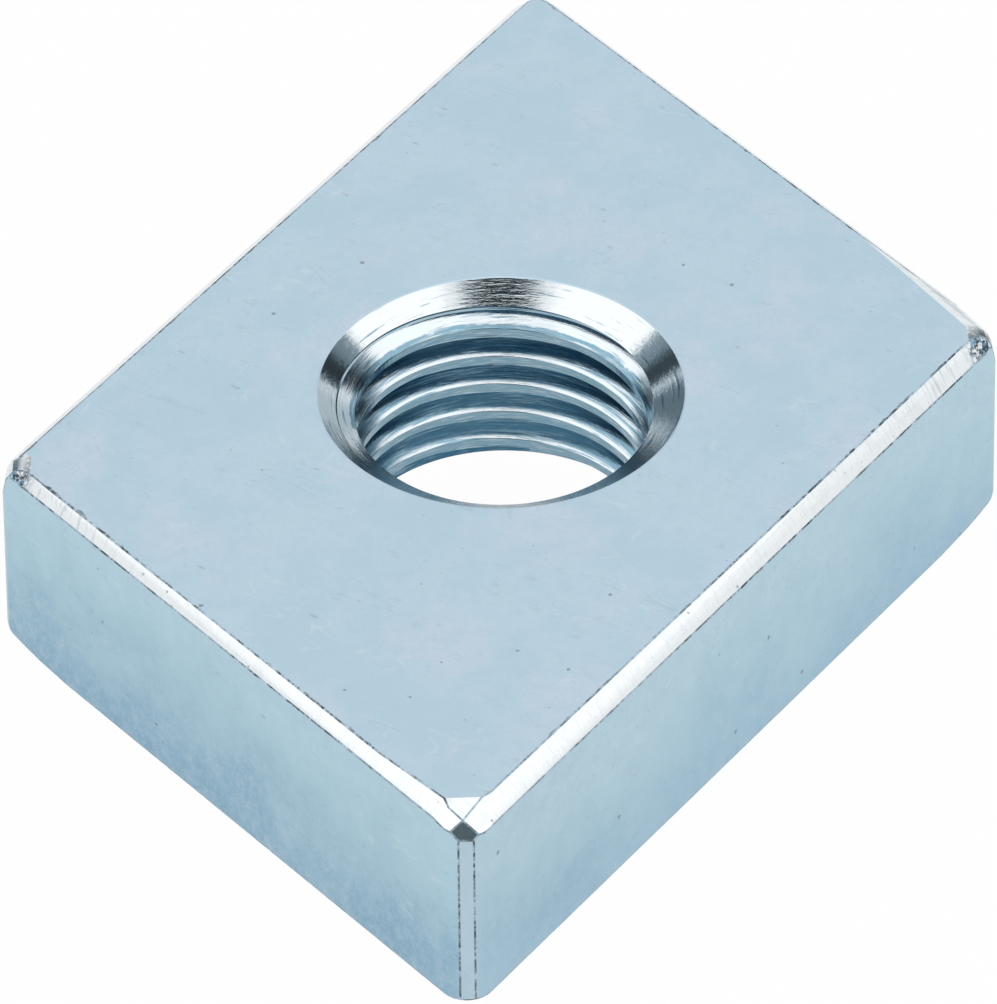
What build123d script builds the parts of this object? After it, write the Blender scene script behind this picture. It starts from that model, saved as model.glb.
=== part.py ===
"""T slot nut: a flat parallelogram block of plated steel with one threaded hole through its middle.

Frame: millimetres, origin on the thread axis at the underside, +Z up along that axis,
+X along the two long sides. The sharper corners point to -X -Y and +X +Y.
Lists that go round the block start at the sharp corner at -X -Y and run anticlockwise.
"""
from build123d import *
from math import cos, radians, sin, sqrt, tan
import os

# Block
LONG_SIDE = 40.0            # length of each long side between sharp corners
WIDTH = 30.2                # between the two long sides, square to them
THICKNESS = 9.76
SHARP_CORNER = 73.0         # degrees inside the two sharper corners
UPRIGHT_RADII = [1.25, 0.63, 1.25, 0.63]
UNDERSIDE_BREAK = 0.12      # the edges round the underside are only just broken

# Chamfers round the top face: size at the start and at the end of each side
TOP_CHAMFERS = [(0.76, 0.54), (0.56, 0.60), (0.76, 0.76), (0.38, 0.55)]
CHAMFER_TURNS = [(step + 0.5) / 6 for step in range(6)]     # flats that carry it round a corner

# Rounded-off tips of the two blunt corners: where their flats lie, as shares of the turn from
# side to side. Above, only the half of the tip that lies away from the front is rounded.
TOP_TIP_RADIUS = 1.2
TOP_TIP_TURNS = {1: [0.55, 0.75, 0.94], 3: [0.06, 0.25, 0.45]}
UNDERSIDE_TIP_RADIUS = 0.77
UNDERSIDE_TIP_TURNS = [0.13, 0.37, 0.63, 0.87]
TIP_RISES = [25.0, 50.0, 72.0]      # degrees that the flats of a tip tilt from upright

# The front corner, the sharp one at -X -Y, has both its chamfers flared just before it:
# side, which way along it the corner lies, depth at the corner, narrowing per millimetre away
# from it, and steepness (1 is 45 degrees)
FRONT_FLARES = [(0, -1, 1.155, 0.133, 0.82), (3, 1, 1.0, 0.126, 0.90)]

# Nose and facet of the front corner, measured in the upright plane that halves the corner
NOSE_DEPTH = 1.04           # how far the nose reaches down the rounded upright edge
NOSE_LEAN = 30.0            # degrees that the nose leans back from upright
FACET_FOLD = 2.38           # from the unrounded corner to where the top face folds down
FACET_DROP = 14.0           # degrees

# Threaded hole, M14 x 1.5; the wall stands at the crests of the thread
THREAD_DIAMETER = 14.0
THREAD_PITCH = 1.5
COUNTERSINK_ANGLE = 110.0   # degrees, whole cone
TOP_RIM_RADIUS = 7.79
UNDERSIDE_RIM_RADIUS = 8.3

CREST_RADIUS = (THREAD_DIAMETER - 5 / 8 * sqrt(3) * THREAD_PITCH) / 2
OVERSHOOT = 1.0             # how far the hole's cutting form stands out of the block
UP = Vector(0, 0, 1)


def block_corners():
    """The four sharp corners of the outline."""
    along = Vector(LONG_SIDE, 0, 0)
    across = Vector(WIDTH / tan(radians(SHARP_CORNER)), WIDTH, 0)
    first = (along + across) * -0.5
    return [first, first + along, first + along + across, first + across]


def side_outward(corners, place):
    """Level direction that the side starting at this corner faces."""
    side = corners[(place + 1) % 4] - corners[place]
    return Vector(side.Y, -side.X, 0).normalized()


def fan(corners, place, turns):
    """Level directions round one corner, at these shares of the turn from side to side."""
    before = side_outward(corners, place - 1)
    whole_turn = before.get_angle(side_outward(corners, place))
    return [before.rotate(Axis.Z, whole_turn * share) for share in turns]


def half_corner(corners, place):
    """Direction into the block that halves one corner, and half the angle there in radians."""
    to_before = (corners[place - 1] - corners[place]).normalized()
    to_after = (corners[(place + 1) % 4] - corners[place]).normalized()
    return (to_before + to_after).normalized(), radians(to_before.get_angle(to_after) / 2)


def round_centre(corners, place, radius):
    """Centre of a rounding of this radius that touches both sides of one corner."""
    inward, half_angle = half_corner(corners, place)
    return corners[place] + inward * (radius / sin(half_angle))


def rounded_block(corners):
    """The plain prism with its upright edges rounded."""
    outline = Polygon(*[(point.X, point.Y) for point in corners], align=None)
    for corner, radius in zip(corners, UPRIGHT_RADII):
        sharp_point = outline.vertices().sort_by_distance(corner)[0]
        outline = fillet(sharp_point, radius)
    return extrude(outline, amount=THICKNESS)


def cut_back(block, point, outward):
    """Take off all that lies outside the plane through point that faces outward."""
    return split(block, bisect_by=Plane(origin=point, z_dir=outward), keep=Keep.BOTTOM)


def chamfer_side(block, corners, place):
    """Chamfer one top edge at 45 degrees, from one size to another along its length."""
    start = corners[place]
    side = corners[(place + 1) % 4] - start
    start_size, end_size = TOP_CHAMFERS[place]
    taper = side.normalized() * ((end_size - start_size) / side.length)
    outward = side_outward(corners, place) + UP + taper
    return cut_back(block, start + UP * (THICKNESS - start_size), outward)


def carry_chamfer_round(block, corners, place):
    """Carry the chamfer round one rounded corner, from one side's size to the next one's."""
    radius = UPRIGHT_RADII[place]
    centre = round_centre(corners, place, radius)
    size_before = TOP_CHAMFERS[place - 1][1]
    growth = TOP_CHAMFERS[place][0] - size_before
    for share, direction in zip(CHAMFER_TURNS, fan(corners, place, CHAMFER_TURNS)):
        size = size_before + growth * share
        edge = centre + direction * radius
        block = cut_back(block, edge + UP * (THICKNESS - size), direction + UP)
    return block


def round_tip(block, corners, place, turns, radius, up_or_down):
    """Round off the tip of one corner with flats that touch a ball set into it."""
    centre_height = THICKNESS - radius if up_or_down > 0 else radius
    centre = round_centre(corners, place, radius) + UP * centre_height
    for direction in fan(corners, place, turns):
        for rise in TIP_RISES:
            level_share = direction * cos(radians(rise))
            outward = level_share + UP * (sin(radians(rise)) * up_or_down)
            block = cut_back(block, centre + outward * radius, outward)
    return block


def flare_front(block, corners):
    """Both chamfers that meet at the front corner grow wider just before it."""
    for place, toward_corner, depth, narrowing, steepness in FRONT_FLARES:
        side = (corners[(place + 1) % 4] - corners[place]).normalized()
        outward = side_outward(corners, place) * steepness + UP + side * (toward_corner * narrowing)
        block = cut_back(block, corners[0] + UP * (THICKNESS - depth), outward)
    return block


def grind_front(block, corners):
    """The front corner ends in a steep nose, with a small sloping facet above it."""
    inward, half_angle = half_corner(corners, 0)
    rounded_off = UPRIGHT_RADII[0] * (1 / sin(half_angle) - 1)
    top = corners[0] + UP * THICKNESS
    foot = top + inward * rounded_off - UP * NOSE_DEPTH
    block = cut_back(block, foot, UP * tan(radians(NOSE_LEAN)) - inward)
    return cut_back(block, top + inward * FACET_FOLD, UP - inward * tan(radians(FACET_DROP)))


def break_underside(block):
    """Just break the sharp edges round the underside."""
    return chamfer(block.faces().sort_by(Axis.Z)[0].edges(), UNDERSIDE_BREAK)


def hole_form():
    """What the hole takes away: the bore at the crests, opening into a countersink at each end."""
    spread = tan(radians(COUNTERSINK_ANGLE / 2))
    underside_depth = (UNDERSIDE_RIM_RADIUS - CREST_RADIUS) / spread
    top_depth = (TOP_RIM_RADIUS - CREST_RADIUS) / spread
    half_section = Polyline(
        (0, 0, -OVERSHOOT),
        (UNDERSIDE_RIM_RADIUS + OVERSHOOT * spread, 0, -OVERSHOOT),
        (CREST_RADIUS, 0, underside_depth),
        (CREST_RADIUS, 0, THICKNESS - top_depth),
        (TOP_RIM_RADIUS + OVERSHOOT * spread, 0, THICKNESS + OVERSHOOT),
        (0, 0, THICKNESS + OVERSHOOT),
        close=True,
    )
    return revolve(make_face(half_section), axis=Axis.Z)


def build_nut():
    corners = block_corners()
    nut = break_underside(rounded_block(corners))
    for place in range(4):
        nut = chamfer_side(nut, corners, place)
    for place in [1, 2, 3]:
        nut = carry_chamfer_round(nut, corners, place)
    for place, turns in TOP_TIP_TURNS.items():
        nut = round_tip(nut, corners, place, turns, TOP_TIP_RADIUS, 1)
        nut = round_tip(nut, corners, place, UNDERSIDE_TIP_TURNS, UNDERSIDE_TIP_RADIUS, -1)
    nut = grind_front(flare_front(nut, corners), corners)
    return nut - hole_form()


nut = build_nut()
os.makedirs("parts", exist_ok=True)
export_step(nut, "parts/nut.step")
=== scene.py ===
"""T slot nut in zinc-plated steel: a skewed flat block with a tapped hole, on a white studio floor.

Everything is in metres, in the frame of the CAD part: the origin is on the thread axis at the
underside, +Z runs up the thread and +X along the two long sides.
"""

from math import cos, hypot, pi, radians, sin, sqrt, tan

import bmesh
import bpy
from mathutils import Matrix, Vector, noise


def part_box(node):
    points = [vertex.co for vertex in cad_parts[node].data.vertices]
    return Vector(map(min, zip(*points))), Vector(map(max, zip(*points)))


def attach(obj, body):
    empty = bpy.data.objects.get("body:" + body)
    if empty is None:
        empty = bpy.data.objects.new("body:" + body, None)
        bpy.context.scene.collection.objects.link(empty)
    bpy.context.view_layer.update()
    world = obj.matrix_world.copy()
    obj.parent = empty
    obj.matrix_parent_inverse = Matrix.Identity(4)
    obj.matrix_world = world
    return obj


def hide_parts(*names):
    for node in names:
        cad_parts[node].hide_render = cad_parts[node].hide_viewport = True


MM = 0.001
SNAP = 0.0002 * MM
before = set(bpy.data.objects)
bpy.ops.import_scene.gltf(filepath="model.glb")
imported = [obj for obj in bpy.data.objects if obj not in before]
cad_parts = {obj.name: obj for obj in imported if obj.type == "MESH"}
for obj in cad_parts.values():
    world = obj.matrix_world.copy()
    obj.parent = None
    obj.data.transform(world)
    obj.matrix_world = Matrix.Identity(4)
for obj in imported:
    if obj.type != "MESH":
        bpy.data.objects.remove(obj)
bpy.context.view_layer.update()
LOW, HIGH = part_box("nut")

# Block
WIDTH = HIGH.y - LOW.y
THICKNESS = HIGH.z
LONG_SIDE = 40.0 * MM
SHARP_CORNER = radians(73)
UPRIGHT_RADII = [1.25 * MM, 0.63 * MM, 1.25 * MM, 0.63 * MM]
UNDERSIDE_BREAK = 0.12 * MM
ROUND_UNDERCUT = 0.008 * MM        # keeps the many-sided rounds inside the true ones
UP = Vector((0, 0, 1))

# Rounded-off tips of the two blunt corners; above, only the half away from the front is rounded
TOP_TIP_RADIUS = 1.2 * MM
UNDERSIDE_TIP_RADIUS = 0.77 * MM
TIP_RISES = [10, 24, 38, 52, 66, 79]
TOP_TIP_TURNS = {1: [0.55, 0.68, 0.81, 0.94], 3: [0.06, 0.19, 0.32, 0.45]}
UNDERSIDE_TIP_TURNS = [(step + 0.5) / 6 for step in range(6)]

# Where round each rounded corner its flats lie, as shares of the turn. The front corner has a
# wider flat strip down its middle.
EVEN_TURNS = [(step + 0.5) / 9 for step in range(9)]
FRONT_TURNS = [0.05, 0.14, 0.23, 0.5, 0.77, 0.86, 0.95]

# Ground chamfers round the top: size in mm at the start and at the end of each side, going
# round anticlockwise from the front corner, which is the sharp one at -X -Y
TOP_CHAMFERS = [(0.74, 0.51), (0.54, 0.60), (0.76, 0.76), (0.34, 0.51)]

# Steeper further cuts of the two chamfers that meet at the front: side, depth at the side's start
# and at its end, and steepness (1 is 45 degrees)
STEEPER_CUTS = [
    (0, 0.78 * MM, 0.80 * MM, 1.5),
    (0, 0.79 * MM, 0.70 * MM, 1.25),
    (3, 0.565 * MM, 0.51 * MM, 1.55),
    (3, 0.475 * MM, 0.53 * MM, 1.25),
]

# The two wider chamfer ends at the front corner: depth at the corner, how fast that depth goes
# away from it, and how upright the flare stands (1 is 45 degrees)
FRONT_RIGHT_FLARE = (1.155 * MM, 0.20, 0.82)
FRONT_LEFT_FLARE = (1.05 * MM, 0.24, 0.78)
FRONT_LEFT_FLATTENING = (0.57 * MM, 0.043, 0.62)

# Nose and facet of the front corner, measured in the upright plane that halves the corner
NOSE_DEPTH = 1.04 * MM             # how far the nose reaches down the rounded upright edge
NOSE_LEAN = radians(28)
FACET_FOLD = 2.38 * MM             # from the sharp corner to where the top face folds down
FACET_DROP = radians(14)

# Borders between the ground and the flat faces
EDGE_BREAK = 0.045 * MM
RIM_BREAK = 0.045 * MM
CRISP_FOLD = radians(22)           # folds sharper than this have a bare, broken edge
SMOOTH_FOLD = radians(13.5)        # folds gentler than this are shaded smooth
BORDER_WANDER = 0.045 * MM
BORDER_NICK = 0.10 * MM
BORDER_ZONE = THICKNESS - 1.5 * MM # all borders of the chamfers lie above this height

# Tapped hole, M14 x 1.5
PITCH = 1.5 * MM
ROOT_RADIUS = 7.0 * MM
CREST_RADIUS = ROOT_RADIUS - 5 / 16 * sqrt(3) * PITCH
COUNTERSINK_ANGLE = radians(110)
TOP_RIM_RADIUS = 7.79 * MM
UNDERSIDE_RIM_RADIUS = 8.3 * MM
THREAD_START = radians(34.63)      # where round the hole a crest has its upper corner at
THREAD_START_DEPTH = 3.05 * MM     # this depth under the top face
HOLE_STEPS = 144
OVERSHOOT = 1.0 * MM               # how far the hole's cutting form stands out of the block
GROOVE_TURNS = 9
GROOVE_TURNS_BELOW = 6             # of these, how many lie under the crest named above

# Camera
VIEW_AZIMUTH = radians(-55.273)
VIEW_ELEVATION = radians(39.184)
VIEW_ROLL = radians(-0.646)
VIEW_DISTANCE = 0.64185
VIEW_ASIDE = -0.000194
VIEW_RISE = 0.002899
LENS = 544.0

# How much of the floor's look is plain white, straight to the camera and in reflections
FLOOR_WHITE_SEEN = 0.98
FLOOR_WHITE_REFLECTED = 0.7
WHITE = (1, 1, 1, 1)


# ---------------------------------------------------------------- modelling helpers

def deselect_all():
    """Object mode with nothing selected."""
    if bpy.context.mode != "OBJECT":
        bpy.ops.object.mode_set(mode="OBJECT")
    bpy.ops.object.select_all(action="DESELECT")


def make_active(piece):
    """Object mode with only this piece selected."""
    deselect_all()
    piece.select_set(True)
    bpy.context.view_layer.objects.active = piece


def start_editing(piece, select_mode="FACE"):
    make_active(piece)
    bpy.ops.object.mode_set(mode="EDIT")
    bpy.ops.mesh.select_mode(type=select_mode)


def stop_editing():
    bpy.ops.object.mode_set(mode="OBJECT")


def select_edges(piece, wanted):
    """In edit mode, select only the edges for which wanted(edge) is true."""
    bpy.ops.mesh.select_mode(type="EDGE")
    bpy.ops.mesh.select_all(action="DESELECT")
    mesh = bmesh.from_edit_mesh(piece.data)
    for edge in mesh.edges:
        edge.select_set(bool(wanted(edge)))
    mesh.select_flush_mode()
    bmesh.update_edit_mesh(piece.data)


def cut_back(point, outward):
    """In edit mode, take off all that lies outside the plane through point that faces outward."""
    bpy.ops.mesh.select_all(action="SELECT")
    bpy.ops.mesh.bisect(
        plane_co=point,
        plane_no=outward.normalized(),
        use_fill=True,
        clear_outer=True,
        threshold=SNAP,
    )


def apply_modifier(piece, kind, **settings):
    """Add a modifier with these settings and apply it at once."""
    make_active(piece)
    modifier = piece.modifiers.new(kind.title(), kind)
    for name, value in settings.items():
        setattr(modifier, name, value)
    bpy.ops.object.modifier_apply(modifier=modifier.name)


def cut_away(piece, tool):
    """Boolean difference, after which the tool is gone."""
    apply_modifier(piece, "BOOLEAN", object=tool, operation="DIFFERENCE", solver="EXACT")
    bpy.data.objects.remove(tool)


# ---------------------------------------------------------------- block

def block_corners():
    """The four sharp corners of the outline, anticlockwise from the one at -X -Y."""
    along = Vector((LONG_SIDE, 0, 0))
    across = Vector((WIDTH / tan(SHARP_CORNER), WIDTH, 0))
    first = (along + across) * -0.5
    return [first, first + along, first + along + across, first + across]


def corner_frame(corners, place):
    """Direction into the block that halves one corner, and half the angle there."""
    to_before = (corners[place - 1] - corners[place]).normalized()
    to_after = (corners[(place + 1) % 4] - corners[place]).normalized()
    return (to_before + to_after).normalized(), to_before.angle(to_after) / 2


def add_bar(corners):
    """A bar along X, longer than the nut, cut off askew at both ends."""
    bpy.ops.mesh.primitive_cube_add(
        size=1,
        location=(0, 0, THICKNESS / 2),
        scale=(LONG_SIDE * 2, WIDTH, THICKNESS),
    )
    nut = bpy.context.object
    nut.name = "zinc_plated_nut"
    bpy.ops.object.transform_apply(location=True, rotation=True, scale=True)
    start_editing(nut)
    across = corners[2] - corners[1]
    end_normal = Vector((across.y, -across.x, 0)).normalized()
    cut_back(corners[1], end_normal)
    cut_back(corners[3], -end_normal)
    return nut


def side_outward(corners, place):
    """Level direction that the side starting at this corner faces."""
    side = corners[(place + 1) % 4] - corners[place]
    return Vector((side.y, -side.x, 0)).normalized()


def fan(corners, place, turns):
    """Level directions round one corner, at these shares of the turn from side to side."""
    before = side_outward(corners, place - 1)
    after = side_outward(corners, place)
    whole_turn = before.angle(after)
    return [Matrix.Rotation(whole_turn * share, 3, "Z") @ before for share in turns]


def round_centre(corners, place, radius):
    """Centre of a rounding of this radius that touches both sides of one corner."""
    inward, half_angle = corner_frame(corners, place)
    return corners[place] + inward * (radius / sin(half_angle))


def round_upright_edge(corners, place, turns):
    """Round one upright edge with flats that touch its radius at the given shares of the turn."""
    radius = UPRIGHT_RADII[place]
    centre = round_centre(corners, place, radius)
    for direction in fan(corners, place, turns):
        cut_back(centre + direction * (radius - ROUND_UNDERCUT), direction)


def round_tip(corners, place, turns, radius, up_or_down):
    """Round off the tip of one corner with flats that touch a ball set into it."""
    centre_height = THICKNESS - radius if up_or_down > 0 else radius
    centre = round_centre(corners, place, radius) + UP * centre_height
    for direction in fan(corners, place, turns):
        for rise in TIP_RISES:
            outward = direction * cos(radians(rise)) + UP * (sin(radians(rise)) * up_or_down)
            cut_back(centre + outward * (radius - ROUND_UNDERCUT), outward)


def grind_chamfer(corners, place):
    """The tapered chamfer along one top edge."""
    start = corners[place]
    side = corners[(place + 1) % 4] - start
    first, last = (size * MM for size in TOP_CHAMFERS[place])
    taper = side.normalized() * ((last - first) / side.length)
    cut_back(start + UP * (THICKNESS - first), side_outward(corners, place) + UP + taper)


def steepen_chamfer(corners, place, first, last, lean):
    """A further, steeper cut, which reaches lower down the side near the blunt corner."""
    start = corners[place]
    side = corners[(place + 1) % 4] - start
    taper = side.normalized() * ((last - first) / side.length)
    cut_back(start + UP * (THICKNESS - first), side_outward(corners, place) * lean + UP + taper)


def carry_chamfer_round(corners, place):
    """A chamfer that goes on round a rounded corner, from one side's size to the next one's."""
    radius = UPRIGHT_RADII[place]
    centre = round_centre(corners, place, radius)
    size_before = TOP_CHAMFERS[place - 1][1] * MM
    size_after = TOP_CHAMFERS[place][0] * MM
    for share, direction in zip(EVEN_TURNS, fan(corners, place, EVEN_TURNS)):
        size = size_before + (size_after - size_before) * share
        edge = centre + direction * radius
        cut_back(edge + UP * (THICKNESS - size), direction + UP)


def widen_chamfers(corners):
    """Both chamfers that meet at the front corner grow wider just before it."""
    for place, toward_corner, (depth, narrowing, lean) in (
        (0, -1, FRONT_RIGHT_FLARE),
        (3, 1, FRONT_LEFT_FLATTENING),
        (3, 1, FRONT_LEFT_FLARE),
    ):
        side = (corners[(place + 1) % 4] - corners[place]).normalized()
        outward = side_outward(corners, place) * lean + UP + side * (toward_corner * narrowing)
        cut_back(corners[0] + UP * (THICKNESS - depth), outward)


def grind_front_nose(corners):
    """The front corner ends in a steep nose, with a small sloping facet above it."""
    inward, half_angle = corner_frame(corners, 0)
    tip = UPRIGHT_RADII[0] * (1 / sin(half_angle) - 1)
    top = corners[0] + UP * THICKNESS
    cut_back(top + inward * tip - UP * NOSE_DEPTH, UP * tan(NOSE_LEAN) - inward)
    cut_back(top + inward * FACET_FOLD, UP - inward * tan(FACET_DROP))


def break_underside(corners):
    """The edges round the underside are only just broken."""
    for place, start in enumerate(corners):
        cut_back(start + UP * UNDERSIDE_BREAK, side_outward(corners, place) - UP)
        centre = round_centre(corners, place, UPRIGHT_RADII[place])
        for direction in fan(corners, place, EVEN_TURNS):
            edge = centre + direction * UPRIGHT_RADII[place]
            cut_back(edge + UP * UNDERSIDE_BREAK, direction - UP)


def fold_angle(edge):
    """Angle between the two faces that meet in an edge."""
    return edge.calc_face_angle(0)


def is_top_border(edge):
    """An edge where a chamfer meets the top face or an upright face."""
    heights = [vertex.co.z for vertex in edge.verts]
    return fold_angle(edge) > CRISP_FOLD and min(heights) > BORDER_ZONE


def split_borders(nut):
    """Short lengths along the borders of the chamfers, so that they can wander."""
    for shortest, longest, cuts in ((5 * MM, 50 * MM, 170), (1.2 * MM, 5 * MM, 12)):
        select_edges(
            nut,
            lambda edge: is_top_border(edge) and shortest < edge.calc_length() < longest,
        )
        bpy.ops.mesh.subdivide(number_cuts=cuts)


def break_edges(nut):
    """A very small flat on every crisp edge, in the material of the bare borders."""
    bpy.ops.mesh.select_all(action="SELECT")
    bpy.ops.mesh.remove_doubles(threshold=EDGE_BREAK * 0.85)
    select_edges(nut, lambda edge: fold_angle(edge) > CRISP_FOLD)
    bpy.ops.mesh.bevel(
        offset=EDGE_BREAK,
        offset_type="OFFSET",
        segments=1,
        affect="EDGES",
        material=BORDER_SLOT,
        clamp_overlap=False,
    )


def roughen_borders(nut):
    """Chips and wander along the chamfers' borders, in the top face and in the upright faces."""
    mesh = bmesh.from_edit_mesh(nut.data)
    moves = []
    for vertex in mesh.verts:
        faces = vertex.link_faces
        plated = [face for face in faces if face.material_index != BORDER_SLOT]
        if vertex.co.z < BORDER_ZONE or len(plated) == len(faces) or len(plated) != 1:
            continue
        place = vertex.co / MM
        wander = 0.4 + 0.6 * noise.noise(place * 0.9) + 1.1 * noise.noise(place * 3.7)
        nick = max(0, noise.noise(place * 1.9 + Vector((9, 4, 7))) - 0.36) * 3
        amount = BORDER_WANDER * max(0, wander) + BORDER_NICK * nick
        if plated[0].normal.z > 0.999:
            centre_ward = Vector((-vertex.co.x, -vertex.co.y, 0)).normalized()
            moves.append((vertex, centre_ward * amount))
        elif abs(plated[0].normal.z) < 0.02:
            moves.append((vertex, UP * (amount * -0.5)))
    for vertex, move in moves:
        vertex.co += move
    for vertex in mesh.verts:
        vertex.co.z = min(vertex.co.z, THICKNESS)
        vertex.co.y = max(-WIDTH / 2, min(vertex.co.y, WIDTH / 2))
    bmesh.update_edit_mesh(nut.data)


# ---------------------------------------------------------------- hole

def hole_form():
    """What the drill and the two countersinks take away."""
    spread = tan(COUNTERSINK_ANGLE / 2)
    underside_depth = (UNDERSIDE_RIM_RADIUS - CREST_RADIUS) / spread
    top_depth = (TOP_RIM_RADIUS - CREST_RADIUS) / spread
    half_section = [
        (0, -OVERSHOOT),
        (UNDERSIDE_RIM_RADIUS + OVERSHOOT * spread, -OVERSHOOT),
        (CREST_RADIUS, underside_depth),
        (CREST_RADIUS, THICKNESS - top_depth),
        (TOP_RIM_RADIUS + OVERSHOOT * spread, THICKNESS + OVERSHOOT),
        (0, THICKNESS + OVERSHOOT),
    ]
    return turned_form("hole_form", half_section)


def outline_piece(name, points):
    """A new object holding one open line of edges in the XZ plane, at (radius, height) points."""
    line = [Vector((radius, 0, height)) for radius, height in points]
    deselect_all()
    bpy.ops.mesh.primitive_plane_add(size=1 * MM, location=line[0])
    piece = bpy.context.object
    piece.name = name
    bpy.ops.object.transform_apply(location=True, rotation=True, scale=True)
    start_editing(piece, "VERT")
    bpy.ops.mesh.select_all(action="SELECT")
    bpy.ops.mesh.merge(type="CENTER")
    for here, there in zip(line, line[1:]):
        bpy.ops.mesh.extrude_vertices_move(TRANSFORM_OT_translate={"value": there - here})
    stop_editing()
    return piece


def turned_form(name, half_section):
    """The half section spun once round the Z axis, closed and facing outwards."""
    piece = outline_piece(name, half_section)
    start_editing(piece, "VERT")
    bpy.ops.mesh.select_all(action="SELECT")
    bpy.ops.mesh.spin(steps=HOLE_STEPS, angle=2 * pi, center=(0, 0, 0), axis=(0, 0, 1))
    bpy.ops.mesh.select_all(action="SELECT")
    bpy.ops.mesh.remove_doubles(threshold=SNAP)
    bpy.ops.mesh.normals_make_consistent(inside=False)
    stop_editing()
    return piece


def groove_form():
    """The thread's groove: a 60 degree section with a slightly rounded root, run up a helix."""
    half_crest_gap = (PITCH - PITCH / 4) / 2
    half_root = PITCH / 16
    lead_in = 0.35 * MM
    flare = 0.008 * MM
    root_drop = 0.06 * MM
    root_spread = 0.03 * MM
    top_crest_height = THICKNESS - THREAD_START_DEPTH
    groove_middle = top_crest_height + half_crest_gap
    section = [
        (CREST_RADIUS - lead_in, -half_crest_gap - 2 * flare),
        (CREST_RADIUS, -half_crest_gap - flare),
        (CREST_RADIUS + 2 * flare, -half_crest_gap + flare),
        (ROOT_RADIUS - root_drop, -half_root - root_spread),
        (ROOT_RADIUS, -half_root * 0.5),
        (ROOT_RADIUS, half_root * 0.5),
        (ROOT_RADIUS - root_drop, half_root + root_spread),
        (CREST_RADIUS + 2 * flare, half_crest_gap - flare),
        (CREST_RADIUS, half_crest_gap + flare),
        (CREST_RADIUS - lead_in, half_crest_gap + 2 * flare),
    ]
    start_height = groove_middle - PITCH * GROOVE_TURNS_BELOW
    piece = outline_piece("groove_form", [(r, h + start_height) for r, h in section])
    start_editing(piece, "VERT")
    bpy.ops.mesh.select_all(action="SELECT")
    bpy.ops.mesh.edge_face_add()
    bpy.ops.transform.rotate(
        value=-THREAD_START,
        orient_axis="Z",
        center_override=(0, 0, 0),
    )
    stop_editing()
    apply_modifier(
        piece,
        "SCREW",
        angle=2 * pi * GROOVE_TURNS,
        screw_offset=PITCH * GROOVE_TURNS,
        steps=HOLE_STEPS * GROOVE_TURNS,
        render_steps=HOLE_STEPS * GROOVE_TURNS,
        use_merge_vertices=False,
    )
    return piece


def close_ends(piece):
    """Cap the open ends of a swept form and turn its faces outwards."""
    start_editing(piece, "VERT")
    bpy.ops.mesh.select_all(action="SELECT")
    bpy.ops.mesh.remove_doubles(threshold=SNAP)
    bpy.ops.mesh.select_all(action="SELECT")
    bpy.ops.mesh.fill_holes(sides=0)
    bpy.ops.mesh.select_all(action="SELECT")
    bpy.ops.mesh.normals_make_consistent(inside=False)
    stop_editing()


def soften_rims(nut):
    """Break the two rims of the hole very slightly."""
    slack = 0.01 * MM

    def lies_on(vertex, radius, height):
        off_radius = abs(hypot(vertex.co.x, vertex.co.y) - radius)
        return off_radius < slack and abs(vertex.co.z - height) < slack

    def is_rim(edge):
        on_top = all(lies_on(vertex, TOP_RIM_RADIUS, THICKNESS) for vertex in edge.verts)
        return on_top or all(lies_on(vertex, UNDERSIDE_RIM_RADIUS, 0) for vertex in edge.verts)

    start_editing(nut)
    select_edges(nut, is_rim)
    bpy.ops.mesh.bevel(offset=RIM_BREAK, offset_type="OFFSET", segments=1, affect="EDGES")
    stop_editing()


def paint_faces(nut, slot, wanted):
    """Give the faces for which wanted(face) is true the material in this slot."""
    start_editing(nut)
    bpy.ops.mesh.select_all(action="DESELECT")
    mesh = bmesh.from_edit_mesh(nut.data)
    for face in mesh.faces:
        face.select_set(bool(wanted(face)))
    bmesh.update_edit_mesh(nut.data)
    nut.active_material_index = slot
    bpy.ops.object.material_slot_assign()
    stop_editing()


def paint_by_place(nut):
    """Ground, turned and tapped surfaces are told apart by where they lie."""
    spread = tan(COUNTERSINK_ANGLE / 2)
    slack = 0.06 * MM

    def radius(face):
        middle = face.calc_center_median()
        return hypot(middle.x, middle.y)

    def in_hole(face):
        return radius(face) < UNDERSIDE_RIM_RADIUS and abs(face.normal.z) < 0.93

    def on_countersink(face):
        height = face.calc_center_median().z
        top_cone = THICKNESS - (TOP_RIM_RADIUS - radius(face)) / spread
        underside_cone = (UNDERSIDE_RIM_RADIUS - radius(face)) / spread
        off_cone = min(abs(height - top_cone), abs(height - underside_cone))
        return in_hole(face) and off_cone < slack

    def on_chamfer(face):
        return (
            face.material_index == FACE_SLOT
            and radius(face) > UNDERSIDE_RIM_RADIUS + 0.5 * MM
            and face.calc_center_median().z > THICKNESS - 1.6 * MM
            and 0.15 < face.normal.z < 0.985
        )

    paint_faces(nut, THREAD_SLOT, in_hole)
    paint_faces(nut, COUNTERSINK_SLOT, on_countersink)
    paint_faces(nut, CHAMFER_SLOT, on_chamfer)


def shade_cleanly(nut):
    """Smooth rounds and turned walls, flat faces flat."""
    make_active(nut)
    bpy.ops.object.shade_smooth_by_angle(angle=SMOOTH_FOLD)
    apply_modifier(nut, "WEIGHTED_NORMAL", keep_sharp=True, weight=100)


# ---------------------------------------------------------------- shader helpers

def put(tree, kind, inputs=None, **settings):
    """A new node; an input that is given a socket is linked, any other gets a plain value."""
    node = tree.nodes.new(kind)
    for name, value in settings.items():
        setattr(node, name, value)
    for name, value in (inputs or {}).items():
        if isinstance(value, bpy.types.NodeSocket):
            tree.links.new(value, node.inputs[name])
        else:
            node.inputs[name].default_value = value
    return node


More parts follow.
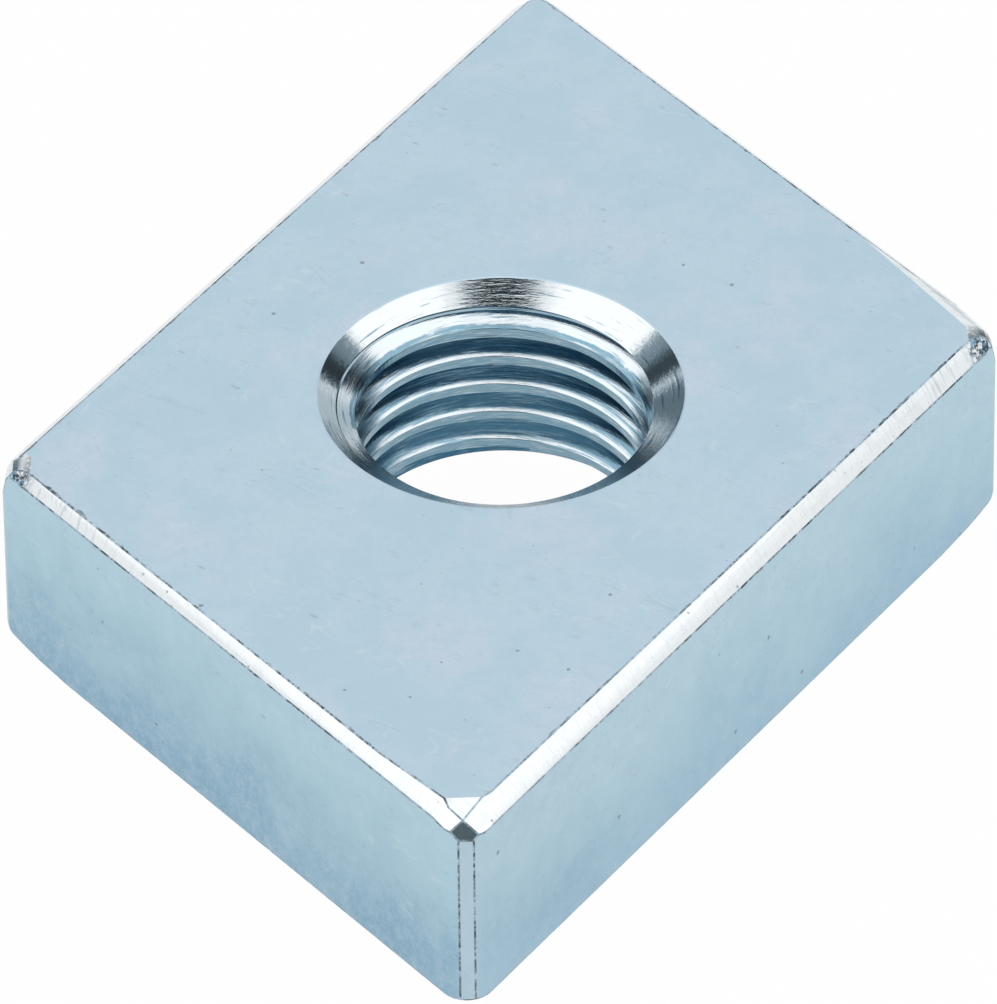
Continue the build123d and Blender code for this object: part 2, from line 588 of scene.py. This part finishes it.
def calculate(tree, operation, first, second=0.5, third=0.5):
    """Plain arithmetic on two or three values."""
    inputs = {0: first, 1: second, 2: third}
    return put(tree, "ShaderNodeMath", inputs, operation=operation).outputs[0]


def cloud(tree, place, scale, detail=2.0, roughness=0.5, distortion=0.0):
    """Soft noise round 0.5."""
    inputs = {
        "Vector": place,
        "Scale": scale,
        "Detail": detail,
        "Roughness": roughness,
        "Distortion": distortion,
    }
    return put(tree, "ShaderNodeTexNoise", inputs).outputs[0]


def between(tree, value, low, high, to_low=0.0, to_high=1.0):
    """The value's way from low to high, eased at both ends."""
    inputs = {
        "Value": value,
        "From Min": low,
        "From Max": high,
        "To Min": to_low,
        "To Max": to_high,
    }
    return put(tree, "ShaderNodeMapRange", inputs, interpolation_type="SMOOTHSTEP").outputs[0]


def blend(tree, share, first, second):
    """From the first colour to the second."""
    node = put(tree, "ShaderNodeMix", {0: share, 6: first, 7: second}, data_type="RGBA")
    return node.outputs[2]


def scaled(tree, vector, factors):
    """A place stretched along each axis."""
    inputs = {0: vector, 1: factors}
    return put(tree, "ShaderNodeVectorMath", inputs, operation="MULTIPLY").outputs[0]


def facing_parts(tree):
    """The X, Y and Z of the way the surface faces, on the object."""
    normal = put(tree, "ShaderNodeTexCoord").outputs["Normal"]
    return put(tree, "ShaderNodeSeparateXYZ", {0: normal}).outputs


def new_group(name, inputs, outputs):
    """An empty node group with its sockets, and its input and output nodes."""
    group = bpy.data.node_groups.new(name, "ShaderNodeTree")
    for socket_name, kind, value in inputs:
        socket = group.interface.new_socket(socket_name, in_out="INPUT", socket_type=kind)
        if value is not None:
            socket.default_value = value
    for socket_name, kind in outputs:
        group.interface.new_socket(socket_name, in_out="OUTPUT", socket_type=kind)
    given = group.nodes.new("NodeGroupInput").outputs
    result = group.nodes.new("NodeGroupOutput").inputs
    return group, given, result


def place_group(tree, group, inputs):
    """Place a group in a material with its own values."""
    return put(tree, "ShaderNodeGroup", inputs, node_tree=group).outputs


# ---------------------------------------------------------------- shared effects

def make_plating_tint():
    """The passivation's soft patches of one colour drifting into two others."""
    group, given, result = new_group(
        "plating_tint",
        [
            ("Place", "NodeSocketVector", None),
            ("Plain", "NodeSocketColor", None),
            ("Deeper", "NodeSocketColor", None),
            ("Warmer", "NodeSocketColor", None),
            ("Patches per mm", "NodeSocketFloat", 0.3),
        ],
        [("Color", "NodeSocketColor")],
    )
    moved = put(group, "ShaderNodeVectorMath", {0: given["Place"], 1: (31, 17, 5)}, operation="ADD")
    deeper = cloud(group, given["Place"], given["Patches per mm"], 4, 0.6)
    warmer = cloud(group, moved.outputs[0], given["Patches per mm"], 3, 0.55)
    color = blend(group, between(group, deeper, 0.36, 0.68), given["Plain"], given["Deeper"])
    color = blend(group, between(group, warmer, 0.5, 0.7), color, given["Warmer"])
    group.links.new(color, result["Color"])
    return group


def make_specks():
    """Small scattered dots of uneven size."""
    group, given, result = new_group(
        "specks",
        [
            ("Place", "NodeSocketVector", None),
            ("Cells per mm", "NodeSocketFloat", 1.0),
            ("Share", "NodeSocketFloat", 0.1),
            ("Size", "NodeSocketFloat", 0.12),
        ],
        [("Mask", "NodeSocketFloat")],
    )
    cells = put(
        group,
        "ShaderNodeTexVoronoi",
        {"Vector": given["Place"], "Scale": given["Cells per mm"], "Randomness": 1.0},
    )
    chance = put(group, "ShaderNodeSeparateColor", {0: cells.outputs["Color"]})
    chosen = calculate(group, "LESS_THAN", chance.outputs[0], given["Share"])
    size_share = calculate(group, "ADD", chance.outputs[1], 0.3)
    size = calculate(group, "MULTIPLY", given["Size"], size_share)
    ragged = calculate(group, "ADD", cloud(group, given["Place"], 9.0, 2), 0.5)
    distance = calculate(group, "MULTIPLY", cells.outputs["Distance"], ragged)
    inside = between(group, calculate(group, "DIVIDE", distance, size), 1.15, 0.75)
    group.links.new(calculate(group, "MULTIPLY", chosen, inside), result["Mask"])
    return group


def make_scratches():
    """Thin, slightly curved, broken hairlines."""
    group, given, result = new_group(
        "scratches",
        [
            ("Place", "NodeSocketVector", None),
            ("Lines per mm", "NodeSocketFloat", 0.5),
            ("Width", "NodeSocketFloat", 0.02),
            ("Share", "NodeSocketFloat", 0.4),
        ],
        [("Mask", "NodeSocketFloat")],
    )
    drawn_out = scaled(group, given["Place"], (1.0, 0.16, 1.0))
    field = cloud(group, drawn_out, given["Lines per mm"], 3, 0.55, 0.4)
    off_middle = calculate(group, "ABSOLUTE", calculate(group, "SUBTRACT", field, 0.5))
    line = between(group, off_middle, given["Width"], 0.0)
    breaks = cloud(group, given["Place"], 0.9, 3)
    kept = between(group, calculate(group, "SUBTRACT", given["Share"], breaks), 0.0, 0.06)
    group.links.new(calculate(group, "MULTIPLY", line, kept), result["Mask"])
    return group


def make_turned_marks():
    """Fine rings round the hole's axis, as a turning or tapping tool leaves them."""
    group, given, result = new_group(
        "turned_marks",
        [
            ("Place", "NodeSocketVector", None),
            ("Rings per mm", "NodeSocketFloat", 6.0),
            ("Breaks per turn", "NodeSocketFloat", 6.0),
        ],
        [("Height", "NodeSocketFloat")],
    )
    level = scaled(group, given["Place"], (1, 1, 0))
    radius = put(group, "ShaderNodeVectorMath", {0: level}, operation="LENGTH").outputs["Value"]
    height = put(group, "ShaderNodeSeparateXYZ", {0: given["Place"]}).outputs[2]
    heading = put(group, "ShaderNodeVectorMath", {0: level}, operation="NORMALIZE").outputs[0]
    heading = put(group, "ShaderNodeSeparateXYZ", {0: heading}).outputs
    spacing = {
        0: calculate(group, "MULTIPLY", radius, given["Rings per mm"]),
        1: calculate(group, "MULTIPLY", height, given["Rings per mm"]),
        2: calculate(group, "MULTIPLY", heading[0], given["Breaks per turn"]),
    }
    inputs = {
        "Vector": put(group, "ShaderNodeCombineXYZ", spacing).outputs[0],
        "W": calculate(group, "MULTIPLY", heading[1], given["Breaks per turn"]),
        "Scale": 1.0,
        "Detail": 3.0,
        "Roughness": 0.6,
    }
    rings = put(group, "ShaderNodeTexNoise", inputs, noise_dimensions="4D").outputs[0]
    group.links.new(rings, result["Height"])
    return group


# Where the two blunt corners are pitted most, in millimetres
PITTED_PLACES = [Vector((14.5, -15.2, 0)), Vector((-15.45, 14.25, 0))]


def make_corner_spread():
    """How near a place is to either of the two blunt corners: 1 there, 0 beyond the reach."""
    group, given, result = new_group(
        "corner_spread",
        [
            ("Place", "NodeSocketVector", None),
            ("Reach", "NodeSocketFloat", 2.0),
            ("Raggedness", "NodeSocketFloat", 0.5),
        ],
        [("Mask", "NodeSocketFloat")],
    )
    level = scaled(group, given["Place"], (1, 1, 0))
    nearest = None
    for corner in PITTED_PLACES:
        inputs = {0: level, 1: corner}
        distance = put(group, "ShaderNodeVectorMath", inputs, operation="DISTANCE").outputs["Value"]
        nearest = distance if nearest is None else calculate(group, "MINIMUM", nearest, distance)
    ragged = calculate(group, "SUBTRACT", cloud(group, given["Place"], 2.5, 3), 0.5)
    ragged = calculate(group, "MULTIPLY", ragged, given["Raggedness"])
    nearest = calculate(group, "ADD", nearest, calculate(group, "MULTIPLY", ragged, 4.0))
    share = calculate(group, "DIVIDE", nearest, given["Reach"])
    group.links.new(between(group, share, 1.0, 0.4), result["Mask"])
    return group


# ---------------------------------------------------------------- materials

FACE_SLOT, BORDER_SLOT, CHAMFER_SLOT, COUNTERSINK_SLOT, THREAD_SLOT = range(5)

PLATING_TINT = make_plating_tint()
SPECKS = make_specks()
SCRATCHES = make_scratches()
TURNED_MARKS = make_turned_marks()
CORNER_SPREAD = make_corner_spread()

# Plating colours: on the flat top, on the long sides, on the two shorter ends, and where the
# upright corners are rounded; the darker foot colours of sides and ends are painted shade. Then
# ground, turned and tapped metal, and what is dark on them; the tapped thread's blues are painted
# shade and its pale colour is partly painted highlight.
TOP_PLAIN = (0.548, 0.692, 0.800, 1)
TOP_DEEPER = (0.500, 0.668, 0.776, 1)
TOP_WARMER = (0.586, 0.690, 0.803, 1)
MOTTLE = (0.480, 0.650, 0.750, 1)
# The foot colours of the sides and ends are painted shade, darker on the shorter ends: they stand
# in for the floor's shadow reflected at the foot of the upright faces.
SIDE_HIGH = (0.520, 0.712, 0.810, 1)
SIDE_FOOT_SHADED = (0.385, 0.590, 0.730, 1)
END_HIGH = (0.500, 0.705, 0.800, 1)
END_FOOT_SHADED = (0.285, 0.480, 0.625, 1)
CORNER_PALE = (0.530, 0.680, 0.770, 1)
GROUND_BRIGHT = (0.870, 0.915, 0.935, 1)
GROUND_GREY = (0.560, 0.640, 0.680, 1)
CORNER_BLUE = (0.150, 0.330, 0.480, 1)
TURNED_BRIGHT = (0.830, 0.880, 0.905, 1)
TURNED_GREY = (0.280, 0.420, 0.500, 1)
# The thread's two blues are painted shade of the hole's inside; its pale colour serves both the
# drag marks and the painted highlights.
THREAD_DRAG_AND_HIGHLIGHT = (0.780, 0.850, 0.890, 1)
THREAD_SHADED_BLUE = (0.260, 0.410, 0.500, 1)
THREAD_DEEPER_SHADE = (0.225, 0.405, 0.510, 1)
BORDER_DARK = (0.060, 0.085, 0.100, 1)
PIT_DARK = (0.090, 0.130, 0.165, 1)


def new_metal(name):
    """A metal material, its tree and shader, and the place on the object in millimetres."""
    material = bpy.data.materials.new(name)
    material.use_nodes = True
    tree = material.node_tree
    shader = tree.nodes["Principled BSDF"]
    shader.inputs["Metallic"].default_value = 1.0
    coordinates = put(tree, "ShaderNodeTexCoord").outputs["Object"]
    inputs = {"Vector": coordinates, "Scale": (1 / MM, 1 / MM, 1 / MM)}
    place = put(tree, "ShaderNodeMapping", inputs).outputs[0]
    return material, tree, shader, place


def raise_bump(tree, shader, height, depth):
    """Let a height pattern tilt the surface; depth is the relief's full depth."""
    bump = put(tree, "ShaderNodeBump", {"Strength": 1.0, "Distance": depth, "Height": height})
    tree.links.new(bump.outputs[0], shader.inputs["Normal"])


def plated_face():
    """Satin zinc plating: pale blue above; the upright faces grow darker and deeper blue towards
    their foot, a painted shade for the floor's shadow reflected there.
    """
    material, tree, shader, place = new_metal("plated_face")
    facing = facing_parts(tree)
    height = put(tree, "ShaderNodeSeparateXYZ", {0: place}).outputs[2]
    upright = between(tree, calculate(tree, "ABSOLUTE", facing[2]), 0.75, 0.35)
    on_end = between(tree, calculate(tree, "ABSOLUTE", facing[0]), 0.35, 0.85)
    aslant = calculate(tree, "ABSOLUTE", calculate(tree, "MULTIPLY", facing[0], facing[1]))
    on_corner = between(tree, aslant, 0.32, 0.44)
    # Painted shade: the upright faces darken towards their foot along a wavy line, for the floor's
    # shadow reflected there.
    wavy = calculate(tree, "MULTIPLY", cloud(tree, place, 0.22, 4, 0.6), 11.0)
    painted_foot_shade = between(tree, calculate(tree, "ADD", height, wavy), 14.0, 5.0)
    side = blend(tree, painted_foot_shade, SIDE_HIGH, SIDE_FOOT_SHADED)
    end = blend(tree, painted_foot_shade, END_HIGH, END_FOOT_SHADED)
    upright_color = blend(tree, on_end, side, end)
    upright_color = blend(tree, on_corner, upright_color, CORNER_PALE)
    top = place_group(tree, PLATING_TINT, {
        "Place": place,
        "Plain": TOP_PLAIN,
        "Deeper": TOP_DEEPER,
        "Warmer": TOP_WARMER,
        "Patches per mm": 0.22,
    })["Color"]
    color = blend(tree, upright, top, upright_color)
    mottle = between(tree, cloud(tree, place, 1.3, 5, 0.75), 0.40, 0.68, 0.0, 0.5)
    color = blend(tree, mottle, color, MOTTLE)
    grain = cloud(tree, place, 5.0, 4, 0.65)
    color = blend(tree, between(tree, grain, 0.48, 0.70, 0.0, 0.6), color, MOTTLE)
    dashes = place_group(tree, SPECKS, {
        "Place": scaled(tree, place, (1.0, 0.35, 1.0)),
        "Cells per mm": 1.5,
        "Share": 0.20,
        "Size": 0.10,
    })["Mask"]
    color = blend(tree, calculate(tree, "MULTIPLY", dashes, 0.22), color, PIT_DARK)
    large_pits = place_group(tree, SPECKS, {
        "Place": place, "Cells per mm": 0.8, "Share": 0.22, "Size": 0.07,
    })["Mask"]
    small_pits = place_group(tree, SPECKS, {
        "Place": place, "Cells per mm": 2.2, "Share": 0.10, "Size": 0.12,
    })["Mask"]
    pits = calculate(tree, "MAXIMUM", large_pits, calculate(tree, "MULTIPLY", small_pits, 0.35))
    color = blend(tree, calculate(tree, "MULTIPLY", pits, 0.55), color, PIT_DARK)
    dull_scratches = place_group(tree, SCRATCHES, {
        "Place": place, "Lines per mm": 0.45, "Width": 0.008, "Share": 0.50,
    })["Mask"]
    pale_scratches = place_group(tree, SCRATCHES, {
        "Place": scaled(tree, place, (0.35, -1.0, 1.0)),
        "Lines per mm": 0.55,
        "Width": 0.007,
        "Share": 0.47,
    })["Mask"]
    color = blend(tree, calculate(tree, "MULTIPLY", dull_scratches, 0.10), color, PIT_DARK)
    color = blend(tree, calculate(tree, "MULTIPLY", pale_scratches, 0.16), color, GROUND_BRIGHT)
    tree.links.new(color, shader.inputs["Base Color"])
    relief = calculate(tree, "SUBTRACT", grain, pits)
    raise_bump(tree, shader, relief, 0.008 * MM)
    rough = between(tree, cloud(tree, place, 1.1, 4), 0.3, 0.7, 0.30, 0.38)
    tree.links.new(rough, shader.inputs["Roughness"])
    return material


def bare_border():
    """The broken dark line where a ground face meets a plated one."""
    material, tree, shader, place = new_metal("bare_border")
    dark = between(tree, cloud(tree, place, 2.4, 6, 0.8), 0.62, 0.42)
    worn = between(tree, cloud(tree, place, 0.35, 3, 0.6), 0.35, 0.60, 0.35, 1.0)
    dark = calculate(tree, "MULTIPLY", dark, worn)
    color = blend(tree, dark, TOP_PLAIN, BORDER_DARK)
    tree.links.new(color, shader.inputs["Base Color"])
    shader.inputs["Roughness"].default_value = 0.45
    return material


def ground_chamfer():
    """Bright ground steel with faint marks across it, pitted dark at the two blunt corners."""
    material, tree, shader, place = new_metal("ground_chamfer")
    facing = facing_parts(tree)
    on_end = between(tree, calculate(tree, "ABSOLUTE", facing[0]), 0.35, 0.55)
    side_marks = cloud(tree, scaled(tree, place, (6.0, 1.0, 1.0)), 1.0, 4, 0.65)
    end_marks = cloud(tree, scaled(tree, place, (1.0, 6.0, 1.0)), 1.0, 4, 0.65)
    share = {0: on_end, 2: side_marks, 3: end_marks}
    marks = put(tree, "ShaderNodeMix", share, data_type="FLOAT").outputs[0]
    marked_end = place_group(tree, CORNER_SPREAD, {
        "Place": place, "Reach": 8.0, "Raggedness": 0.6,
    })["Mask"]
    pitted_end = place_group(tree, CORNER_SPREAD, {
        "Place": place, "Reach": 1.5, "Raggedness": 0.25,
    })["Mask"]
    frontward = calculate(tree, "ADD", facing[0], facing[1])
    pitted_end = calculate(tree, "MULTIPLY", pitted_end, between(tree, frontward, 0.20, -0.10))
    darkest_end = between(tree, frontward, -0.50, -0.15)
    grey = between(tree, marks, 0.50, 0.68)
    grey = calculate(tree, "MULTIPLY", grey, calculate(tree, "MULTIPLY_ADD", marked_end, 0.6, 0.25))
    hazy = between(tree, cloud(tree, place, 1.1, 4, 0.65), 0.48, 0.66, 0.0, 0.18)
    grey = calculate(tree, "MAXIMUM", grey, hazy)
    color = blend(tree, grey, GROUND_BRIGHT, GROUND_GREY)
    pits = place_group(tree, SPECKS, {
        "Place": place, "Cells per mm": 2.6, "Share": 0.14, "Size": 0.16,
    })["Mask"]
    color = blend(tree, calculate(tree, "MULTIPLY", pits, 0.5), color, PIT_DARK)
    tinted = between(tree, cloud(tree, place, 4.0, 3, 0.6), 0.42, 0.55)
    stained = blend(tree, tinted, CORNER_BLUE, GROUND_BRIGHT)
    blotches = calculate(tree, "MULTIPLY_ADD", darkest_end, 0.10, cloud(tree, place, 6.5, 3, 0.6))
    blotches = between(tree, blotches, 0.45, 0.58)
    stained = blend(tree, blotches, stained, BORDER_DARK)
    color = blend(tree, pitted_end, color, stained)
    tree.links.new(color, shader.inputs["Base Color"])
    raise_bump(tree, shader, marks, 0.010 * MM)
    shader.inputs["Roughness"].default_value = 0.15
    return material


def turned_countersink():
    """Bright turned cone with fine broken rings."""
    material, tree, shader, place = new_metal("turned_countersink")
    fine = place_group(tree, TURNED_MARKS, {
        "Place": place, "Rings per mm": 11.0, "Breaks per turn": 15.0,
    })["Height"]
    rings = place_group(tree, TURNED_MARKS, {
        "Place": place, "Rings per mm": 5.0, "Breaks per turn": 3.0,
    })["Height"]
    tone = between(tree, rings, 0.30, 0.42)
    tree.links.new(blend(tree, tone, TURNED_GREY, TURNED_BRIGHT), shader.inputs["Base Color"])
    raise_bump(tree, shader, calculate(tree, "ADD", fine, rings), 0.009 * MM)
    shader.inputs["Roughness"].default_value = 0.10
    return material


def tapped_thread():
    """Thread dragged by the tap, with long fine rings: the pale up-facing crest corners and flank
    streaks are painted highlights, the deeper blue between them is painted shade.
    """
    material, tree, shader, place = new_metal("tapped_thread")
    height = put(tree, "ShaderNodeSeparateXYZ", {0: place}).outputs[2]
    facing = facing_parts(tree)
    level = scaled(tree, place, (1, 1, 0))
    radius = put(tree, "ShaderNodeVectorMath", {0: level}, operation="LENGTH").outputs["Value"]
    rings = place_group(tree, TURNED_MARKS, {
        "Place": place, "Rings per mm": 5.0, "Breaks per turn": 2.2,
    })["Height"]
    # Painted highlight: a pale band at the up-facing crest corners, and over the up-facing flanks
    # near the top of the thread, its edge ragged along the rings.
    outer = between(tree, radius, 6.38, 6.27)
    high = between(tree, height, 6.9, 7.4)
    up_facing = between(tree, facing[2], 0.55, 0.75)
    highlight_raggedness = calculate(tree, "MULTIPLY_ADD", rings, 1.5, cloud(tree, place, 1.6, 4, 0.7))
    highlight_raggedness = calculate(tree, "MULTIPLY_ADD", highlight_raggedness, 0.3, -0.375)
    inner = between(tree, calculate(tree, "ADD", radius, highlight_raggedness), 6.34, 6.44)
    outer = calculate(tree, "MULTIPLY", outer, calculate(tree, "SUBTRACT", 1.0, high))
    high = calculate(tree, "MULTIPLY", high, inner)
    painted_highlight = calculate(tree, "MULTIPLY", calculate(tree, "MAXIMUM", outer, high), up_facing)
    # Painted highlight: pale streaks along the rings, only on the up-facing flanks.
    painted_streak_highlights = between(tree, rings, 0.53, 0.64, 0.0, 0.8)
    painted_streak_highlights = calculate(tree, "MULTIPLY", painted_streak_highlights, up_facing)
    drag = place_group(tree, TURNED_MARKS, {
        "Place": place, "Rings per mm": 16.0, "Breaks per turn": 7.0,
    })["Height"]
    # Painted shade: all of the thread gets a dark blue, deeper in patches along the rings.
    color = blend(tree, between(tree, rings, 0.35, 0.60), THREAD_DEEPER_SHADE, THREAD_SHADED_BLUE)
    dragged = between(tree, drag, 0.50, 0.64, 0.0, 0.34)
    color = blend(tree, dragged, color, THREAD_DRAG_AND_HIGHLIGHT)
    painted_highlight = calculate(tree, "MULTIPLY", painted_highlight, between(tree, rings, 0.34, 0.46))
    color = blend(tree, calculate(tree, "MAXIMUM", painted_highlight, painted_streak_highlights), color, THREAD_DRAG_AND_HIGHLIGHT)
    tree.links.new(color, shader.inputs["Base Color"])
    raise_bump(tree, shader, calculate(tree, "MULTIPLY_ADD", drag, 0.4, rings), 0.010 * MM)
    shader.inputs["Roughness"].default_value = 0.13
    return material


def build_nut():
    """The nut: block, chamfers, corners, borders, then the hole and its thread."""
    corners = block_corners()
    nut = add_bar(corners)
    for place in range(4):
        round_upright_edge(corners, place, FRONT_TURNS if place == 0 else EVEN_TURNS)
        grind_chamfer(corners, place)
        if place > 0:
            carry_chamfer_round(corners, place)
    for place, first, last, lean in STEEPER_CUTS:
        steepen_chamfer(corners, place, first, last, lean)
    widen_chamfers(corners)
    grind_front_nose(corners)
    break_underside(corners)
    for place, turns in TOP_TIP_TURNS.items():
        round_tip(corners, place, turns, TOP_TIP_RADIUS, 1)
        round_tip(corners, place, UNDERSIDE_TIP_TURNS, UNDERSIDE_TIP_RADIUS, -1)
    for finish in (plated_face, bare_border, ground_chamfer, turned_countersink, tapped_thread):
        nut.data.materials.append(finish())
    split_borders(nut)
    break_edges(nut)
    roughen_borders(nut)
    stop_editing()
    cut_away(nut, hole_form())
    groove = groove_form()
    close_ends(groove)
    cut_away(nut, groove)
    soften_rims(nut)
    paint_by_place(nut)
    shade_cleanly(nut)
    return nut


nut = build_nut()
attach(nut, "root")
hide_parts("nut")


# ---------------------------------------------------------------- studio

def add_camera():
    """The camera looks at the nut from the front corner's side, a little rolled."""
    right = Vector((cos(VIEW_AZIMUTH), sin(VIEW_AZIMUTH), 0))
    back = Vector((
        sin(VIEW_AZIMUTH) * cos(VIEW_ELEVATION),
        -cos(VIEW_AZIMUTH) * cos(VIEW_ELEVATION),
        sin(VIEW_ELEVATION),
    ))
    up = back.cross(right)
    rolled_right = right * cos(VIEW_ROLL) + up * sin(VIEW_ROLL)
    rolled_up = up * cos(VIEW_ROLL) - right * sin(VIEW_ROLL)
    place = back * VIEW_DISTANCE + rolled_right * VIEW_ASIDE + rolled_up * VIEW_RISE
    data = bpy.data.cameras.new("camera")
    data.sensor_fit = "HORIZONTAL"
    data.sensor_width = 36
    data.lens = LENS
    data.clip_start = 0.01
    data.clip_end = 100
    camera = bpy.data.objects.new("camera", data)
    camera.matrix_world = Matrix((
        (rolled_right.x, rolled_up.x, back.x, place.x),
        (rolled_right.y, rolled_up.y, back.y, place.y),
        (rolled_right.z, rolled_up.z, back.z, place.z),
        (0, 0, 0, 1),
    ))
    bpy.context.scene.collection.objects.link(camera)
    bpy.context.scene.camera = camera


def view_direction(azimuth, elevation):
    """A direction seen from the camera: azimuth 0 is straight away from it, 90 to its right."""
    ahead = Vector((-sin(VIEW_AZIMUTH), cos(VIEW_AZIMUTH), 0))
    right = Vector((cos(VIEW_AZIMUTH), sin(VIEW_AZIMUTH), 0))
    level = ahead * cos(radians(azimuth)) + right * sin(radians(azimuth))
    return level * cos(radians(elevation)) + Vector((0, 0, sin(radians(elevation))))


# Soft boxes and dark flags in the studio: azimuth, elevation, half-width of the even middle and
# of the soft edge in degrees, and what each adds to the light from there
STUDIO_LIGHTS = [
    ("right_softbox", 86, 46, 25, 32, 0.25),
    ("left_softbox", -86, 46, 25, 32, 0.25),
    ("overhead_softbox", 0, 84, 16, 22, 0.25),
    ("camera_side_flag", 180, 58, 16, 22, -0.90),
    ("camera_foot_flag", 180, 8, 14, 22, -0.80),
    ("back_left_flag", -56, 28, 9, 15, -0.86),
    ("back_right_flag", 56, 27, 12, 16, -0.88),
    ("low_left_flag", -32, 5, 13, 21, -0.72),
    ("low_right_flag", 32, 5, 11, 19, -0.35),
]
STUDIO_LEVEL = 0.92
DARKEST = 0.03                     # no flag is darker than this
FULLY_TINTED = 0.2                 # the level at which a flag shows all of its blue
FLAG_BLUE = (0.58, 0.84, 1.0, 1)


def add_world():
    """An even studio with soft boxes left, right and overhead, and dark flags between them."""
    world = bpy.data.worlds.new("studio")
    bpy.context.scene.world = world
    world.use_nodes = True
    tree = world.node_tree
    background = tree.nodes["Background"]
    ray = put(tree, "ShaderNodeTexCoord").outputs["Generated"]
    level = STUDIO_LEVEL
    for name, azimuth, elevation, middle, edge, strength in STUDIO_LIGHTS:
        inputs = {0: ray, 1: view_direction(azimuth, elevation)}
        facing = put(tree, "ShaderNodeVectorMath", inputs, operation="DOT_PRODUCT", label=name)
        start, end = cos(radians(edge)), cos(radians(middle))
        share = between(tree, facing.outputs["Value"], start, end, 0.0, strength)
        level = calculate(tree, "ADD", level, share)
    tree.links.new(calculate(tree, "MAXIMUM", level, DARKEST), background.inputs["Strength"])
    inputs = {"Value": level, "From Min": STUDIO_LEVEL, "From Max": FULLY_TINTED}
    darkened = put(tree, "ShaderNodeMapRange", inputs).outputs["Result"]
    tree.links.new(blend(tree, darkened, WHITE, FLAG_BLUE), background.inputs["Color"])


def add_floor():
    """A white floor that keeps a faint shadow of the nut."""
    bpy.ops.mesh.primitive_plane_add(size=6, location=(0, 0, -0.02 * MM))
    floor = bpy.context.object
    floor.name = "floor"
    material = bpy.data.materials.new("floor_white")
    material.use_nodes = True
    tree = material.node_tree
    paint = tree.nodes["Principled BSDF"]
    paint.inputs["Base Color"].default_value = (0.8, 0.8, 0.8, 1)
    paint.inputs["Roughness"].default_value = 0.8
    paint.inputs["Specular IOR Level"].default_value = 0.2
    white = put(tree, "ShaderNodeEmission", {"Color": WHITE, "Strength": 1.0})
    ray = put(tree, "ShaderNodeLightPath").outputs
    share = calculate(tree, "MULTIPLY", ray["Is Camera Ray"], FLOOR_WHITE_SEEN)
    share = calculate(tree, "MULTIPLY_ADD", ray["Is Glossy Ray"], FLOOR_WHITE_REFLECTED, share)
    mix = put(tree, "ShaderNodeMixShader", {0: share, 1: paint.outputs[0], 2: white.outputs[0]})
    tree.links.new(mix.outputs[0], tree.nodes["Material Output"].inputs["Surface"])
    floor.data.materials.append(material)


add_camera()
add_floor()
add_world()
bpy.context.scene.view_settings.view_transform = "Standard"
